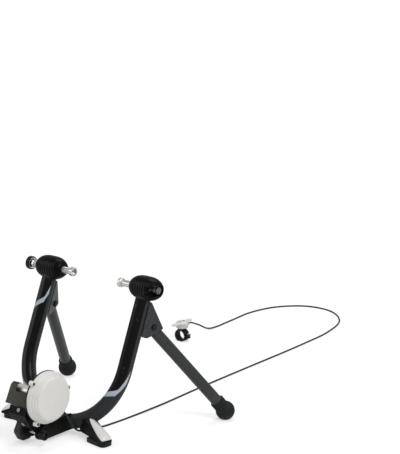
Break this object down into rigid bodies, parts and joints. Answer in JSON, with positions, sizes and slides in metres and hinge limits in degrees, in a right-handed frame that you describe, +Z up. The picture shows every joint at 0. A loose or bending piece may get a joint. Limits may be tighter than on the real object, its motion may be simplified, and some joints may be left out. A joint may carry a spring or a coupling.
{
  "type": "bicycle trainer",
  "caption": "Folding wheel-on bicycle trainer: U frame with screw clamps for the rear axle, swinging magnetic roller brake, and a handlebar lever on a cable.",
  "frame": {"origin": "on the floor, under the middle of the trainer's footprint, cable and remote lever left out", "axes": "+Z up, +Y the way the bicycle faces, +X to the bicycle's right; X is across the trainer"},
  "size_m": [0.6088, 1.4797, 0.396],
  "materials": {
    "graphite_paint": "satin graphite powder coat",
    "black_paint": "satin black paint",
    "black_plastic": "matt moulded black",
    "white_plastic": "satin moulded white",
    "grey_plate": "satin dark grey paint",
    "rubber": "matt rubber",
    "steel": "plated steel",
    "aluminium": "machined aluminium",
    "dark_steel": "dark plated steel",
    "magnet_nickel": "nickel plate",
    "pale_plastic": "matt moulded pale grey",
    "cable_jacket": "smooth black cable jacket"
  },
  "bodies": {
    "frame": {"u_frame": "graphite_paint", "base_arm": "black_paint", "pivot_nut": "black_plastic", "left_clamp_shell_front": "black_plastic", "left_clamp_shell_rear": "black_plastic", "right_clamp_shell_front": "black_plastic", "right_clamp_shell_rear": "black_plastic", "left_rear_bracket": "black_plastic", "right_rear_bracket": "black_plastic", "left_foot_cap": "white_plastic", "right_foot_cap": "white_plastic", "left_rear_sole": "rubber", "right_rear_sole": "rubber", "left_leg_bracket": "graphite_paint", "right_leg_bracket": "graphite_paint", "left_leg_bolt": "dark_steel", "right_leg_bolt": "dark_steel", "left_leg_bolt_cap": "black_plastic", "right_leg_bolt_cap": "black_plastic", "remote_clamp": "black_plastic", "remote_clamp_screw": "steel", "remote_body": "pale_plastic", "resistance_cable": "cable_jacket"},
    "left_leg": {"left_leg_tube": "graphite_paint", "left_leg_foot": "rubber"},
    "right_leg": {"right_leg_tube": "graphite_paint", "right_leg_foot": "rubber"},
    "left_clamp": {"left_axle_cup": "steel"},
    "left_screw": {"left_spindle": "steel", "left_handwheel": "black_plastic"},
    "right_clamp": {"right_axle_cup": "aluminium", "right_spindle": "steel", "right_pull_knob": "dark_steel", "right_knob_cap": "steel"},
    "brake_unit": {"roller_housing": "grey_plate", "swing_bracket": "black_paint", "cable_gland": "black_plastic", "upper_housing_bolt": "steel", "lower_housing_bolt": "steel", "left_roller_bush": "black_plastic", "right_roller_bush": "black_plastic", "brake_cover": "white_plastic", "brake_back_plate": "black_plastic", "case_screw_1": "dark_steel", "case_screw_2": "dark_steel", "case_screw_3": "dark_steel"},
    "roller_spin": {"roller": "aluminium", "roller_shaft": "steel", "brake_rotor": "aluminium"},
    "magnet_shift": {"magnet_plate": "dark_steel", "magnet_1": "magnet_nickel", "magnet_2": "magnet_nickel", "magnet_3": "magnet_nickel", "magnet_4": "magnet_nickel", "magnet_5": "magnet_nickel", "magnet_6": "magnet_nickel"},
    "clamp_knob": {"clamp_knob": "black_plastic", "pivot_bolt": "steel"},
    "remote_lever": {"remote_lever": "white_plastic"}
  },
  "joints": [
    {"name": "left_leg_fold", "type": "hinge", "parent": "frame", "child": "left_leg", "pos_m": [-0.17698, 0.06037, 0.26866], "axis": [-0.9272, -0.3448, 0.1464], "range_deg": [0, 58]},
    {"name": "right_leg_fold", "type": "hinge", "parent": "frame", "child": "right_leg", "pos_m": [0.17698, 0.06037, 0.26866], "axis": [-0.9272, 0.3448, -0.1464], "range_deg": [0, 58]},
    {"name": "left_clamp_slide", "type": "slide", "parent": "frame", "child": "left_clamp", "axis": [1, 0, 0], "range_m": [-0.01, 0.012]},
    {"name": "left_screw_turn", "type": "hinge", "parent": "left_clamp", "child": "left_screw", "pos_m": [0, 0.06139, 0.366], "axis": [1, 0, 0], "range_deg": [-900, 1080]},
    {"name": "right_clamp_pull", "type": "slide", "parent": "frame", "child": "right_clamp", "axis": [1, 0, 0], "range_m": [0, 0.012]},
    {"name": "brake_swing", "type": "hinge", "parent": "frame", "child": "brake_unit", "pos_m": [0, -0.19861, 0.0285], "axis": [1, 0, 0], "range_deg": [0, 22]},
    {"name": "roller_turn", "type": "hinge", "parent": "brake_unit", "child": "roller_spin", "pos_m": [0, -0.19161, 0.127], "axis": [1, 0, 0], "continuous": true},
    {"name": "magnet_turn", "type": "hinge", "parent": "brake_unit", "child": "magnet_shift", "pos_m": [0, -0.19161, 0.127], "axis": [1, 0, 0], "range_deg": [0, 55]},
    {"name": "knob_turn", "type": "hinge", "parent": "frame", "child": "clamp_knob", "pos_m": [0, -0.19861, 0.0285], "axis": [1, 0, 0], "range_deg": [-720, 0]},
    {"name": "remote_lever_turn", "type": "hinge", "parent": "frame", "child": "remote_lever", "pos_m": [-0.235, 0.68139, 0.055], "axis": [0, 0, 1], "range_deg": [0, 110]}
  ],
  "couplings": [
    {"joint": "left_screw_turn", "follows": "left_clamp_slide", "rad_per_m": 1570.8},
    {"joint": "remote_lever_turn", "follows": "magnet_turn", "ratio": 2}
  ]
}
